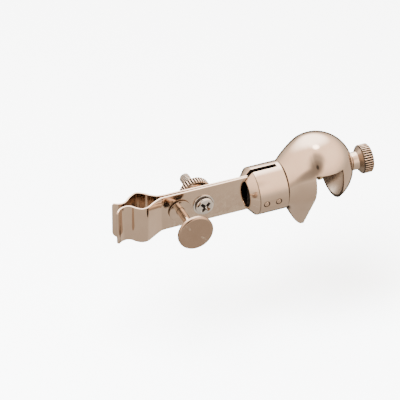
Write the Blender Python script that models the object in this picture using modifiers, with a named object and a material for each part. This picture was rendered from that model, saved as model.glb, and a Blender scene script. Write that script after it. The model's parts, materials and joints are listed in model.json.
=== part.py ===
"""Test tube holder that clamps on a beaker rim: a slotted hollow ball with a rim screw, and a swivelling
arm of two spring strips whose bent ends grip the tube. Metres, +Z up. The origin is the seat of the beaker
rim: the middle of the slot, on its ceiling. +X points out of the beaker, towards the rim screw.
Where a size is written as x or X below, it is measured along the arm from the ball's centre."""

import math

import bmesh
import bpy
from mathutils import Euler, Vector

# ball and rim slot
BALL_R = 0.0127
WALL = 0.0009
BALL = Vector((-0.0004, 0.0, -0.0047))  # centre of the ball, from the rim seat
SLOT_INNER_X = -0.0046  # plane of the inner jaw
SLOT_OUTER_X = 0.0054  # plane of the outer jaw
SLOT_TOP_Z = -BALL.z

# neck between ball and barrel, and the pointed inner jaw below it
ARM_Z = -0.0030  # axis of the arm, below the ball's centre
NECK_X = -0.0130
NECK_R = 0.0079
FLARE_X = -0.00906  # where the neck's top meets the ball
FLARE_R = 0.0097
FLARE_Z = -0.0008
TONGUE_X = -0.0050  # where the neck's sides meet the ball and the jaw has its full depth
JAW_EASE = 0.85  # below 1 the jaw's lower edge comes down sooner; it levels out at the neck and at the tip
FADE_X = -0.0030  # from here to the outer jaw's plane the form returns to a plain ball, all inside the slot
TONGUE_TIP_Z = -0.0216
TONGUE_TIP_R = 0.0011

# barrel
BARREL_R = 0.00835
BARREL_GAP = 0.00025
BARREL_WALL = 0.00085
BEVEL_X = -0.0242
MOUTH_X = -0.0263
MOUTH_RIM_R = 0.0056
MOUTH_R = 0.0050
WEB = 0.0010
SLOT_END_X = -0.0147
SLOT_WIDTH = 0.0018
PIN_R = 0.00105
PIN_Z = -0.0007  # below the arm's axis
PIN_X = {"outer_pin": -0.0215, "inner_pin": -0.0171}

# jaw strips
STRIP_T = 0.00065
STRIP_H = 0.0133
STRIP_Y = 0.000375  # middle of each strip where the two lie together
STRIP_ROOT_X = -0.0156
FLEX_X = -0.0270  # the front strip bends here
FLEX_GAP = 0.00015
CREASE_X = -0.0555
REAR_BEND = (-0.0450, 0.0007)
JAW_DROP = 0.0005  # past the crease the jaws reach this much lower than the arm
JAW_DROP_X = (-0.0550, -0.0600)
TIP_HIGH_R = 0.0010  # corner radii of the strips' free ends
TIP_LOW_R = 0.0022
TIP_STEPS = 7
FRONT_JAW = [  # middle of the front strip past its crease, x and y
    (-0.0568, -0.0004), (-0.0590, -0.0013), (-0.0612, -0.0026), (-0.0630, -0.0036), (-0.0650, -0.0036),
    (-0.0666, -0.0023), (-0.0677, -0.0009), (-0.0690, -0.0002), (-0.0705, -0.0003), (-0.0720, -0.0010),
    (-0.0735, -0.0026),
]
REAR_JAW = [  # middle of the rear strip past the thumb screw, x and y
    (-0.0530, 0.0009), (-0.0548, 0.0009), (-0.0564, 0.0011), (-0.0578, 0.0015), (-0.0595, 0.0027),
    (-0.0612, 0.0044), (-0.0635, 0.0057), (-0.0663, 0.0043), (-0.0678, 0.0029), (-0.0690, 0.0021),
    (-0.0704, 0.0019), (-0.0718, 0.0024), (-0.0731, 0.0032),
]

# cross-head screw and its knurled nut
CROSS_X = -0.0416
CROSS_HEAD_R = 0.0032
CROSS_HEAD_H = 0.0021
CROSS_DOME_H = 0.0008
CROSS_FLANGE_R = 0.0038
CROSS_FLANGE_H = 0.0004
CROSS_R = 0.00180
CROSS_END_Y = 0.0163
RECESS = (0.0050, 0.0012, 0.0014)  # length, width and depth of each bar of the cross
RECESS_TAPER = 0.35
BUSH_R = 0.0036
BUSH_Y = (0.0038, 0.0048)
NUT_R = 0.0056
NUT_Y = (0.0049, 0.0079)
NUT_TEETH = 36

# thumb screw
THUMB_X = -0.0502
THUMB_R = 0.0014
THUMB_ROOT_R = 0.0023  # the shank swells where it meets the disc
THUMB_ROOT_H = 0.0007
THUMB_END_Y = 0.0046
COLLAR_R = 0.0040
COLLAR_Y = (-0.0015, -0.0010)
DISC_R = 0.00635
DISC_Y = (-0.0153, -0.0136)
CLINCH_R = 0.0025
CLINCH_Y = (0.0015, 0.0028)

# rim screw
RIM_Z = -0.0010  # axis, below the ball's centre
RIM_R = 0.00175
PAD_X = (0.0002, 0.0014)
PAD_R = 0.0035
PAD_BOSS_X = 0.0034
PAD_BOSS_R = 0.0027
BUSHING_R = 0.0028
BUSHING_X = (0.0092, 0.01265)
SHOULDER_R = 0.0031
SHOULDER_X = 0.0128
HEAD_BACK_X = 0.0150  # a cone backs the knurled head
HEAD_BACK_R = 0.0047
HEAD_X = (0.0161, 0.0198)
HEAD_R = 0.0050
HEAD_TEETH = 36

# swivel
PLUG_R = 0.0065
PLUG_X = (-0.01235, -0.0113)
STUD_R = 0.0016
STUD_HEAD_R = 0.0028
STUD_HEAD_X = (-0.0154, -0.01465)
WASHER_R = 0.0045
WASHER_X = (-0.0146, -0.0143)

RUN = 0.00012  # running clearance of a shaft in its hole
FREE_PLAY = 0.0005  # around a screw in the strip that it slides through
SEAM = 0.0001  # between pieces that are held together
OVERLAP = 0.0005  # of shapes that are joined into one
CHAMFER = 0.0004
KNURL_DEPTH = 0.00045
STEPS = 40  # sides of a round piece
BARREL_STEPS = 56
DISC_STEPS = 48
PIN_STEPS = 20
HOLE_STEPS = 28
SECTION_POINTS = 26  # from the top of a ball section to its bottom
FLANK_U = 0.62  # share of those points down to where the inner jaw's straight flank begins
FLANK_TURN = 122.0  # degrees from the top of a section that has no flank, at the same share
TIP_U = 0.86  # where the flank ends and the jaw's round tip begins
BLEND_U = (0.45, 0.65)  # between these the ball's circle gives way to the jaw's outline
PAST = 0.001  # a cutter reaches this far past the surface it cuts
CUT_REACH = 0.010  # half the length of a cutter that goes through the barrel
AXIS_X = Euler((0.0, math.radians(90.0), 0.0))  # turns a piece's own +Z along world +X
AXIS_Y = Euler((math.radians(-90.0), 0.0, 0.0))  # turns a piece's own +Z along world +Y

NICKEL = (0.74, 0.66, 0.61)
NICKEL_BRIGHT = (0.80, 0.79, 0.77)
STEEL = (0.62, 0.61, 0.60)
BRASS = (0.70, 0.60, 0.46)


def clear_scene():
    for item in list(bpy.data.objects):
        bpy.data.objects.remove(item, do_unlink=True)


def collection(name):
    found = bpy.data.collections.new(name)
    bpy.context.scene.collection.children.link(found)
    return found


def metal(name, colour, roughness):
    made = bpy.data.materials.new(name)
    made.use_nodes = True
    shader = made.node_tree.nodes["Principled BSDF"]
    shader.inputs["Base Color"].default_value = (*colour, 1.0)
    shader.inputs["Metallic"].default_value = 1.0
    shader.inputs["Roughness"].default_value = roughness
    return made


def place(bm, name, where, at, turn=None, colour=NICKEL, roughness=0.15):
    """Makes the mesh an object of the given collection, in its own material, at a point from the ball."""
    if all(edge.is_manifold for edge in bm.edges):
        bmesh.ops.recalc_face_normals(bm, faces=bm.faces)
    mesh = bpy.data.meshes.new(name)
    bm.to_mesh(mesh)
    bm.free()
    mesh.shade_smooth()
    mesh.set_sharp_from_angle(angle=math.radians(35.0))
    made = bpy.data.objects.new(name, mesh)
    made.location = BALL + Vector(at)
    if turn:
        made.rotation_euler = turn
    where.objects.link(made)
    if where is PARTS:
        mesh.materials.append(metal(name, colour, roughness))
    else:
        made.hide_render = True
        made.display_type = "WIRE"
    return made


def cut(target, cutter, operation="DIFFERENCE"):
    change = target.modifiers.new(cutter.name, "BOOLEAN")
    change.operation = operation
    change.solver = "EXACT"
    change.object = cutter


def turned(profile, steps=STEPS):
    """A closed solid of revolution about Z, from (radius, height) points that run up the outer side. They
    start and end on the axis, or close on themselves around a bore."""
    outline = bmesh.new()
    ring = [outline.verts.new((r, 0.0, h)) for r, h in reversed(profile)]
    for pair in zip(ring, ring[1:]):
        outline.edges.new(pair)
    if profile[0][0] > 0.0:
        outline.edges.new((ring[-1], ring[0]))
    mesh = bpy.data.meshes.new("profile")
    outline.to_mesh(mesh)
    outline.free()
    spun = bpy.data.objects.new("profile", mesh)
    CUTTERS.objects.link(spun)
    screw = spun.modifiers.new("turn", "SCREW")
    screw.steps = steps
    screw.render_steps = steps
    screw.use_merge_vertices = True
    screw.merge_threshold = 1e-6
    seen = bpy.context.evaluated_depsgraph_get()
    solid = bpy.data.meshes.new_from_object(spun.evaluated_get(seen))
    bm = bmesh.new()
    bm.from_mesh(solid)
    bpy.data.meshes.remove(solid)
    bpy.data.objects.remove(spun)
    return bm


def washer(inner, outer, low, high, steps=STEPS):
    return turned([(inner, low), (outer, low), (outer, high), (inner, high)], steps)


def rod(radius, low, high, steps=STEPS):
    return turned([(0.0, low), (radius, low), (radius, high), (0.0, high)], steps)


def box(low, high):
    bm = bmesh.new()
    bmesh.ops.create_cube(bm, size=1.0)
    low, high = Vector(low), Vector(high)
    for vert in bm.verts:
        vert.co = (low + high) / 2 + Vector(a * b for a, b in zip(vert.co, high - low))
    return bm


def knurled(bm, radius, low, high, teeth):
    """Adds a straight-knurled cylinder along Z with chamfered ends."""
    chamfer = KNURL_DEPTH + SEAM
    rings = []
    for height, drop in ((low, chamfer), (low + chamfer, 0.0), (high - chamfer, 0.0), (high, chamfer)):
        ring = []
        for i in range(teeth * 2):
            depth = KNURL_DEPTH if i % 2 else 0.0
            r = min(radius - depth, radius - drop)
            turn = math.tau * i / (teeth * 2)
            ring.append(bm.verts.new((r * math.cos(turn), r * math.sin(turn), height)))
        rings.append(ring)
    for lower, upper in zip(rings, rings[1:]):
        bridge(bm, lower, upper)
    bm.faces.new(rings[0])
    bm.faces.new(rings[-1])


def bridge(bm, lower, upper, closed=True):
    count = len(lower) if closed else len(lower) - 1
    for i in range(count):
        j = (i + 1) % len(lower)
        bm.faces.new((lower[i], lower[j], upper[j], upper[i]))


# ---------------------------------------------------------------- ball, neck and inner jaw


def blend(low, high, t):
    return low + (high - low) * t


def smoothstep(t):
    t = min(max(t, 0.0), 1.0)
    return t * t * (3 - 2 * t)


def section_angle(u):
    """Angle from the top of a section at u = 0 to its bottom at u = 1, closer together near the bottom."""
    if u < FLANK_U:
        return math.radians(blend(0.0, FLANK_TURN, u / FLANK_U))
    return math.radians(blend(FLANK_TURN, 180.0, (u - FLANK_U) / (1.0 - FLANK_U)))


def circle_point(radius, centre_z, u):
    turn = section_angle(u)
    return Vector((radius * math.sin(turn), centre_z + radius * math.cos(turn)))


def jaw_point(u):
    """The outline of the inner jaw in its own plane: the ball's circle above, flanks and a round tip."""
    big = math.sqrt(BALL_R**2 - TONGUE_X**2)
    small_z = TONGUE_TIP_Z + TONGUE_TIP_R
    lean = math.asin((big - TONGUE_TIP_R) / -small_z)
    flank_top = math.pi / 2 + lean
    if u < FLANK_U:
        turn = blend(0.0, flank_top, u / FLANK_U)
        return Vector((big * math.sin(turn), big * math.cos(turn)))
    start = Vector((big * math.sin(flank_top), big * math.cos(flank_top)))
    end = Vector((TONGUE_TIP_R * math.sin(flank_top), small_z + TONGUE_TIP_R * math.cos(flank_top)))
    if u < TIP_U:
        return start.lerp(end, (u - FLANK_U) / (TIP_U - FLANK_U))
    turn = blend(flank_top, math.pi, (u - TIP_U) / (1.0 - TIP_U))
    return Vector((TONGUE_TIP_R * math.sin(turn), small_z + TONGUE_TIP_R * math.cos(turn)))


def neck_circle(x):
    """Radius and centre height of the upper part of the section at x."""
    if x > TONGUE_X:
        return math.sqrt(max(BALL_R**2 - x**2, 0.0)), 0.0
    if x > FLARE_X:
        t = (x - FLARE_X) / (TONGUE_X - FLARE_X)
        return blend(FLARE_R, math.sqrt(BALL_R**2 - TONGUE_X**2), t), blend(FLARE_Z, 0.0, t)
    t = (x - NECK_X) / (FLARE_X - NECK_X)
    return blend(NECK_R, FLARE_R, t), blend(ARM_Z, FLARE_Z, t)


def section(x):
    """Half of the ball shell's section at x, from top to bottom, as (y, z)."""
    radius, centre = neck_circle(x)
    points = []
    for i in range(SECTION_POINTS + 1):
        u = i / SECTION_POINTS
        upper = circle_point(radius, centre, u)
        reach = smoothstep(max((x - NECK_X) / (TONGUE_X - NECK_X), 0.0) ** JAW_EASE)
        lower = circle_point(NECK_R, ARM_Z, u).lerp(jaw_point(u), reach)
        share = smoothstep((u - BLEND_U[0]) / (BLEND_U[1] - BLEND_U[0]))
        share *= smoothstep((SLOT_OUTER_X - x) / (SLOT_OUTER_X - FADE_X))
        points.append(upper.lerp(lower, share))
    return points


def ball_sections():
    """Where the shell's sections are: neck, jaw, then the ball's own meridian steps to its pole."""
    neck = [blend(NECK_X, TONGUE_X, i / 9) for i in range(10)]
    jaw = [SLOT_INNER_X, FADE_X]
    ball = [BALL_R * math.sin(math.radians(turn)) for turn in range(-8, 90, 7)]
    return neck + jaw + ball


def ball_shell():
    bm = bmesh.new()
    rings = []
    for x in ball_sections():
        half = section(x)
        ring = [bm.verts.new((x, p.x, p.y)) for p in half]
        ring += [bm.verts.new((x, -p.x, p.y)) for p in reversed(half[1:-1])]
        rings.append(ring)
    for left, right in zip(rings, rings[1:]):
        bridge(bm, right, left)
    pole = bm.verts.new((BALL_R, 0.0, 0.0))
    last = rings[-1]
    for i, vert in enumerate(last):
        bm.faces.new((pole, last[(i + 1) % len(last)], vert))
    shell = place(bm, "ball_shell", PARTS, (0, 0, 0))
    skin = shell.modifiers.new("wall", "SOLIDIFY")
    skin.thickness = WALL
    skin.offset = -1.0
    reach = 2 * BALL_R
    slot = box((SLOT_INNER_X, -reach, -2 * reach), (SLOT_OUTER_X, reach, SLOT_TOP_Z))
    cut(shell, place(slot, "rim_slot_cutter", CUTTERS, (0, 0, 0)))
    bore = rod(BUSHING_R + RUN, BALL_R - 3 * WALL, BALL_R + 3 * WALL)
    cut(shell, place(bore, "bushing_cutter", CUTTERS, (0, 0, RIM_Z), AXIS_X))


# ---------------------------------------------------------------- rim screw


def rim_screw():
    pad = turned([
        (0.0, PAD_X[0]), (PAD_R, PAD_X[0]), (PAD_R, PAD_X[1]), (PAD_BOSS_R, PAD_X[1]),
        (PAD_BOSS_R, PAD_BOSS_X), (RIM_R + RUN, PAD_BOSS_X), (RIM_R + RUN, PAD_X[1]), (0.0, PAD_X[1]),
    ])
    place(pad, "rim_pad", PARTS, (0, 0, RIM_Z), AXIS_X, BRASS, 0.3)
    bushing = turned([
        (RIM_R + RUN, BUSHING_X[0]), (BUSHING_R, BUSHING_X[0]), (BUSHING_R, BUSHING_X[1]),
        (RIM_R + RUN, BUSHING_X[1]),
    ])
    place(bushing, "screw_bushing", PARTS, (0, 0, RIM_Z), AXIS_X)
    screw = bmesh.new()
    knurled(screw, HEAD_R, HEAD_X[0], HEAD_X[1], HEAD_TEETH)
    head = place(screw, "rim_screw", PARTS, (0, 0, RIM_Z), AXIS_X)
    tip = PAD_X[1] + RUN
    shank = turned([
        (0.0, tip), (RIM_R - CHAMFER, tip), (RIM_R, tip + CHAMFER), (RIM_R, SHOULDER_X),
        (SHOULDER_R, SHOULDER_X), (SHOULDER_R, HEAD_BACK_X), (HEAD_BACK_R, HEAD_X[0]),
        (HEAD_BACK_R, HEAD_X[0] + OVERLAP), (0.0, HEAD_X[0] + OVERLAP),
    ])
    cut(head, place(shank, "rim_shank_form", CUTTERS, (0, 0, RIM_Z), AXIS_X), "UNION")


# ---------------------------------------------------------------- swivel and barrel


def swivel():
    stud = turned([
        (0.0, STUD_HEAD_X[0]), (STUD_HEAD_R, STUD_HEAD_X[0]), (STUD_HEAD_R, STUD_HEAD_X[1]),
        (STUD_R, STUD_HEAD_X[1]), (STUD_R, PLUG_X[0]), (PLUG_R, PLUG_X[0]), (PLUG_R, PLUG_X[1]),
        (0.0, PLUG_X[1]),
    ])
    place(stud, "swivel_stud", PARTS, (0, 0, ARM_Z), AXIS_X, STEEL, 0.3)
    ring = washer(STUD_R + RUN, WASHER_R, *WASHER_X)
    place(ring, "friction_washer", PARTS, (0, 0, ARM_Z), AXIS_X, STEEL, 0.35)


def barrel():
    end = NECK_X - BARREL_GAP
    inner = BARREL_R - BARREL_WALL
    tube = turned([
        (STUD_R + RUN, end), (BARREL_R, end), (BARREL_R, BEVEL_X), (MOUTH_RIM_R, MOUTH_X),
        (MOUTH_R, MOUTH_X), (MOUTH_R, MOUTH_X + CHAMFER), (inner, BEVEL_X + CHAMFER / 2),
        (inner, end - WEB), (STUD_R + RUN, end - WEB),
    ], BARREL_STEPS)
    tube = place(tube, "barrel", PARTS, (0, 0, ARM_Z), AXIS_X)
    half = SLOT_WIDTH / 2
    slot = box((MOUTH_X - PAST, -half, -CUT_REACH), (SLOT_END_X, half, CUT_REACH))
    cut(tube, place(slot, "barrel_slot_cutter", CUTTERS, (0, 0, ARM_Z)))
    for name, x in PIN_X.items():
        hole = rod(PIN_R + RUN, -CUT_REACH, CUT_REACH, PIN_STEPS)
        cut(tube, place(hole, name + "_cutter", CUTTERS, (x, 0, ARM_Z + PIN_Z), AXIS_Y))
        reach = math.sqrt(BARREL_R**2 - PIN_Z**2)
        crown = PIN_R * 0.7
        pin = turned([
            (0.0, -reach - SEAM), (crown, -reach), (PIN_R, -reach + 2 * SEAM), (PIN_R, reach - 2 * SEAM),
            (crown, reach), (0.0, reach + SEAM),
        ], PIN_STEPS)
        place(pin, name, PARTS, (x, 0, ARM_Z + PIN_Z), AXIS_Y)


# ---------------------------------------------------------------- jaw strips


def smooth_path(points, steps=3):
    """Points on one smooth curve through all the given ones (Catmull-Rom)."""
    ends = [Vector(points[0]) * 2 - Vector(points[1])]
    ends += [Vector(p) for p in points]
    ends.append(Vector(points[-1]) * 2 - Vector(points[-2]))
    path = []
    for a, b, c, d in zip(ends, ends[1:], ends[2:], ends[3:]):
        for i in range(steps):
            t = i / steps
            path.append(0.5 * (2 * b + (c - a) * t + (2 * a - 5 * b + 4 * c - d) * t**2
                               + (3 * b - a - 3 * c + d) * t**3))
    path.append(ends[-2])
    return path


def tip_inset(radius, left):
    """How far a rounded corner draws in the edge of a strip, this far from its end."""
    short = max(radius - left, 0.0)
    return radius - math.sqrt(radius**2 - short**2)


def strip(name, path, round_tip):
    """An upright strip along a path of (x, y) points. Its last end has rounded corners if asked."""
    bm = bmesh.new()
    left = []
    run = sum((b - a).length for a, b in zip(path, path[1:]))
    gone = 0.0
    for i, point in enumerate(path):
        gone += (point - path[i - 1]).length if i else 0.0
        high, low = (tip_inset(r, run - gone) if round_tip else 0.0 for r in (TIP_HIGH_R, TIP_LOW_R))
        drop = JAW_DROP * smoothstep((JAW_DROP_X[0] - point.x) / (JAW_DROP_X[0] - JAW_DROP_X[1]))
        ends = (low - STRIP_H / 2 - drop, STRIP_H / 2 - high)
        left.append([bm.verts.new((point.x, point.y, z)) for z in ends])
    for low, high in zip(left, left[1:]):
        bm.faces.new((low[0], high[0], high[1], low[1]))
    made = place(bm, name, PARTS, (0, 0, ARM_Z))
    skin = made.modifiers.new("thickness", "SOLIDIFY")
    skin.thickness = STRIP_T
    skin.offset = 0.0
    skin.use_even_offset = True
    return made


def tip_steps(path):
    """Replaces a path's last stretch with closer points, for the round corners of its end."""
    last, before = path[-1], path[-2]
    away = (before - last).normalized()
    kept = [p for p in path if (p - last).length > TIP_LOW_R * 1.05]
    turns = [math.radians(90.0 * i / TIP_STEPS) for i in range(TIP_STEPS + 1)]
    return kept + [last + away * TIP_LOW_R * (1 - math.sin(a)) for a in turns]


def drill(target, name, x, radius):
    hole = rod(radius, -CUT_REACH, CUT_REACH, HOLE_STEPS)
    cut(target, place(hole, name, CUTTERS, (x, 0, ARM_Z), AXIS_Y))


def pin_holes(target):
    for name, x in PIN_X.items():
        hole = rod(PIN_R + RUN, -CUT_REACH, CUT_REACH, PIN_STEPS)
        label = target.name + "_" + name + "_cutter"
        cut(target, place(hole, label, CUTTERS, (x, 0, ARM_Z + PIN_Z), AXIS_Y))


def jaws():
    root = strip("front_jaw_root", [Vector((x, -STRIP_Y)) for x in (STRIP_ROOT_X, FLEX_X + FLEX_GAP)], False)
    pin_holes(root)

    straight = [Vector((FLEX_X - FLEX_GAP, -STRIP_Y)), Vector((CREASE_X, -STRIP_Y))]
    front = strip("front_jaw", straight + tip_steps(smooth_path(FRONT_JAW)), True)
    drill(front, "front_cross_hole", CROSS_X, CROSS_R + RUN)
    drill(front, "front_thumb_hole", THUMB_X, THUMB_R + FREE_PLAY)

    straight = [Vector((STRIP_ROOT_X, STRIP_Y)), Vector((FLEX_X, STRIP_Y)), Vector(REAR_BEND)]
    rear = strip("rear_jaw", straight + tip_steps(smooth_path(REAR_JAW)), True)
    pin_holes(rear)
    drill(rear, "rear_cross_hole", CROSS_X, CROSS_R + FREE_PLAY)
    drill(rear, "rear_thumb_hole", THUMB_X, THUMB_R + RUN)


# ---------------------------------------------------------------- screws through the strips


def cross_head_screw():
    under = -STRIP_Y - STRIP_T / 2 - SEAM
    dome = []
    for i in range(7):
        turn = math.radians(90.0 * i / 6)
        top = under - CROSS_HEAD_H + CROSS_DOME_H * (1 - math.cos(turn))
        dome.append((CROSS_HEAD_R * math.sin(turn), top))
    screw = turned([(0.0, dome[0][1])] + dome[1:] + [
        (CROSS_HEAD_R, under - CROSS_FLANGE_H), (CROSS_FLANGE_R, under - CROSS_FLANGE_H),
        (CROSS_FLANGE_R, under), (CROSS_R, under), (CROSS_R, CROSS_END_Y - CHAMFER),
        (CROSS_R - CHAMFER, CROSS_END_Y), (0.0, CROSS_END_Y),
    ])
    screw = place(screw, "cross_head_screw", PARTS, (CROSS_X, 0, ARM_Z), AXIS_Y, NICKEL_BRIGHT, 0.12)
    face = under - CROSS_HEAD_H
    for label, turn in (("recess_a", 45.0), ("recess_b", 135.0)):
        length, width, depth = RECESS
        bar = box((-length / 2, -PAST, -width / 2), (length / 2, depth, width / 2))
        for vert in bar.verts:
            if vert.co.y > 0:
                vert.co.x *= RECESS_TAPER
        angle = Euler((0.0, math.radians(turn), 0.0))
        cut(screw, place(bar, label, CUTTERS, (CROSS_X, face, ARM_Z), angle))


def knurled_nut():
    bush = washer(CROSS_R + RUN, BUSH_R, *BUSH_Y)
    place(bush, "nut_bush", PARTS, (CROSS_X, 0, ARM_Z), AXIS_Y)
    nut = bmesh.new()
    knurled(nut, NUT_R, NUT_Y[0], NUT_Y[1], NUT_TEETH)
    nut = place(nut, "knurled_nut", PARTS, (CROSS_X, 0, ARM_Z), AXIS_Y)
    bore = rod(CROSS_R + RUN, NUT_Y[0] - PAST, NUT_Y[1] + PAST)
    cut(nut, place(bore, "nut_bore_cutter", CUTTERS, (CROSS_X, 0, ARM_Z), AXIS_Y))


def thumb_screw():
    here = (THUMB_X, 0, ARM_Z)
    place(washer(THUMB_R + RUN, COLLAR_R, *COLLAR_Y), "thumb_collar", PARTS, here, AXIS_Y)
    root = DISC_Y[1] + SEAM
    shank = turned([
        (0.0, root), (THUMB_ROOT_R, root), (THUMB_R, root + THUMB_ROOT_H),
        (THUMB_R, THUMB_END_Y - CHAMFER), (THUMB_R - CHAMFER, THUMB_END_Y), (0.0, THUMB_END_Y),
    ])
    place(shank, "thumb_shank", PARTS, here, AXIS_Y)
    disc = turned([
        (0.0, DISC_Y[0]), (DISC_R - CHAMFER, DISC_Y[0]), (DISC_R, DISC_Y[0] + CHAMFER),
        (DISC_R, DISC_Y[1] - CHAMFER), (DISC_R - CHAMFER, DISC_Y[1]), (0.0, DISC_Y[1]),
    ], DISC_STEPS)
    place(disc, "thumb_disc", PARTS, here, AXIS_Y)
    nut = washer(THUMB_R + RUN, CLINCH_R, *CLINCH_Y)
    place(nut, "clinch_nut", PARTS, here, AXIS_Y, STEEL, 0.3)


clear_scene()
PARTS = collection("test_tube_holder")
CUTTERS = collection("cutters")
ball_shell()
rim_screw()
swivel()
barrel()
jaws()
cross_head_screw()
knurled_nut()
thumb_screw()
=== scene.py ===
"""Looks of the test tube holder: polished warm nickel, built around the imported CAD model."""

import json
import math

import bmesh
import bpy
from mathutils import Euler, Matrix, Vector


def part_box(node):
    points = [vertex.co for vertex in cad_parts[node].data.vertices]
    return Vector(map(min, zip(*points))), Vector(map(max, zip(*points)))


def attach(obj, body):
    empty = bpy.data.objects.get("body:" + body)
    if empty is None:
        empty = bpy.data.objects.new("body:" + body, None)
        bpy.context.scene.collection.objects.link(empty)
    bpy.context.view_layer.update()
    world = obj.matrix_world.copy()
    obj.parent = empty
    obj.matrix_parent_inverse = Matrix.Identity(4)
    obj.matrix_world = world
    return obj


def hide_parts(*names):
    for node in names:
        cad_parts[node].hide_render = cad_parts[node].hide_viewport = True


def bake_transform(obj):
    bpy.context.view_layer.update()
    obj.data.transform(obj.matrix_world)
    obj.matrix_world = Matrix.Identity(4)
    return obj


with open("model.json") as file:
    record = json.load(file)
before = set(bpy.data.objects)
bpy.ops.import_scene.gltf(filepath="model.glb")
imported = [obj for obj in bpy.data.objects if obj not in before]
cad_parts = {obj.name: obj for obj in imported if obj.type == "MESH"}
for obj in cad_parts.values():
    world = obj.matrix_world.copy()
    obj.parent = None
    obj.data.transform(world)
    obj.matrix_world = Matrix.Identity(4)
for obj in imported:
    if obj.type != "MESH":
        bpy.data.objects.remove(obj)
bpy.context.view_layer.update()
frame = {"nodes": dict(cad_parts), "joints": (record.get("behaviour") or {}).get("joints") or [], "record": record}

MM = 0.001


# ---------------------------------------------------------------- sizes read from the frame


def joint(name):
    found = next(j for j in frame["joints"] if j["name"] == name)
    return Vector(found["pos_m"])


ARM_Z = joint("arm_swivel").z
RIM_AXIS = joint("rim_turn")
THUMB = joint("thumb_turn")
CROSS = joint("nut_turn")
FLEX = joint("front_jaw_flex")

BALL_LOW, BALL_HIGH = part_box("ball_shell")
BALL_R = 12.7 * MM
BALL_WALL = 0.9 * MM
NECK_X = -13.0 * MM  # the neck's end, from the ball's centre
BALL = Vector((BALL_LOW.x - NECK_X, 0.0, BALL_HIGH.z - BALL_R))
SLOT_INNER_X = next(m for m in frame["record"]["mounts"] if m["name"] == "inner_jaw_face")["pos_m"][0]
SLOT_WIDTH = 10.0 * MM

BARREL_LOW, BARREL_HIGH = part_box("barrel")
BARREL_R = (BARREL_HIGH.z - BARREL_LOW.z) / 2
AT_ARM = Vector((0, 0, ARM_Z))
AT_RIM = Vector((0, 0, RIM_AXIS.z))
PINS = ("outer_pin", "inner_pin")
PIN_HOLE_R = 1.17 * MM
EDGE_SHARP = 38.0  # degrees between two faces from which their edge is left sharp


# ---------------------------------------------------------------- mesh helpers


def finish_mesh(bm, name, material, sharp=EDGE_SHARP):
    """Makes the mesh an object in place, smooth except over sharp edges."""
    bmesh.ops.remove_doubles(bm, verts=bm.verts, dist=1e-7)
    if all(edge.is_manifold for edge in bm.edges):
        bmesh.ops.recalc_face_normals(bm, faces=bm.faces)
    mesh = bpy.data.meshes.new(name)
    bm.to_mesh(mesh)
    bm.free()
    mesh.shade_smooth()
    mesh.set_sharp_from_angle(angle=math.radians(sharp))
    mesh.materials.append(material)
    made = bpy.data.objects.new(name, mesh)
    bpy.context.scene.collection.objects.link(made)
    return made


def bridge(bm, lower, upper):
    count = len(lower)
    for i in range(count):
        j = (i + 1) % count
        bm.faces.new((lower[i], lower[j], upper[j], upper[i]))


def filleted(points, segments=5):
    """Replaces each corner (r, h, radius) of an open profile with an arc; radius 0 keeps it sharp."""
    out = []
    for i, (r, h, radius) in enumerate(points):
        here = Vector((r, h))
        if radius == 0 or i in (0, len(points) - 1):
            out.append(here)
            continue
        before = Vector(points[i - 1][:2]) - here
        after = Vector(points[i + 1][:2]) - here
        half = before.angle(after) / 2
        reach = radius / math.tan(half)
        start = here + before.normalized() * reach
        end = here + after.normalized() * reach
        centre = here + (before.normalized() + after.normalized()).normalized() * (radius / math.sin(half))
        a, b = start - centre, end - centre
        sweep = a.angle_signed(b)
        for k in range(segments + 1):
            turn = -sweep * k / segments
            out.append(centre + Vector((a.x * math.cos(turn) - a.y * math.sin(turn),
                                        a.x * math.sin(turn) + a.y * math.cos(turn))))
    return out


def along(axis, origin):
    """Takes a shape built about Z to an axis along X or Y through a point."""
    turns = {"X": Euler((0, math.pi / 2, 0)), "Y": Euler((-math.pi / 2, 0, 0))}
    return Matrix.Translation(origin) @ turns[axis].to_matrix().to_4x4()


def revolve(profile, steps=96):
    """Spins (radius, height) points about Z. Radius 0 is a pole; a profile off the axis closes on itself."""
    bm = bmesh.new()
    rings = []
    for r, h in profile:
        if r < 1e-9:
            rings.append([bm.verts.new((0, 0, h))])
            continue
        turns = [math.tau * i / steps for i in range(steps)]
        rings.append([bm.verts.new((r * math.cos(t), r * math.sin(t), h)) for t in turns])
    pairs = list(zip(rings, rings[1:]))
    if len(rings[0]) > 1 and len(rings[-1]) > 1:
        pairs.append((rings[-1], rings[0]))
    for lower, upper in pairs:
        if len(lower) == 1 and len(upper) > 1:
            for i, vert in enumerate(upper):
                bm.faces.new((lower[0], vert, upper[(i + 1) % steps]))
        elif len(upper) == 1 and len(lower) > 1:
            for i, vert in enumerate(lower):
                bm.faces.new((vert, upper[0], lower[(i + 1) % steps]))
        elif len(lower) > 1:
            bridge(bm, lower, upper)
    return bm


def heightfield(radius_at, heights, steps, bore=None):
    """A closed solid about Z whose radius is radius_at(turn, height), with flat ends or round a bore."""
    bm = bmesh.new()
    turns = [math.tau * i / steps for i in range(steps)]
    rings = []
    for h in heights:
        ring = []
        for t in turns:
            r = radius_at(t, h)
            ring.append(bm.verts.new((r * math.cos(t), r * math.sin(t), h)))
        rings.append(ring)
    for lower, upper in zip(rings, rings[1:]):
        bridge(bm, lower, upper)
    if bore is None:
        for ring, h in ((rings[0], heights[0]), (rings[-1], heights[-1])):
            pole = bm.verts.new((0, 0, h))
            for i, vert in enumerate(ring):
                bm.faces.new((pole, vert, ring[(i + 1) % steps]))
        return bm
    inner = []
    for h in (heights[0], heights[-1]):
        inner.append([bm.verts.new((bore * math.cos(t), bore * math.sin(t), h)) for t in turns])
    bridge(bm, rings[0], inner[0])
    bridge(bm, inner[0], inner[1])
    bridge(bm, inner[1], rings[-1])
    return bm


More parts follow.
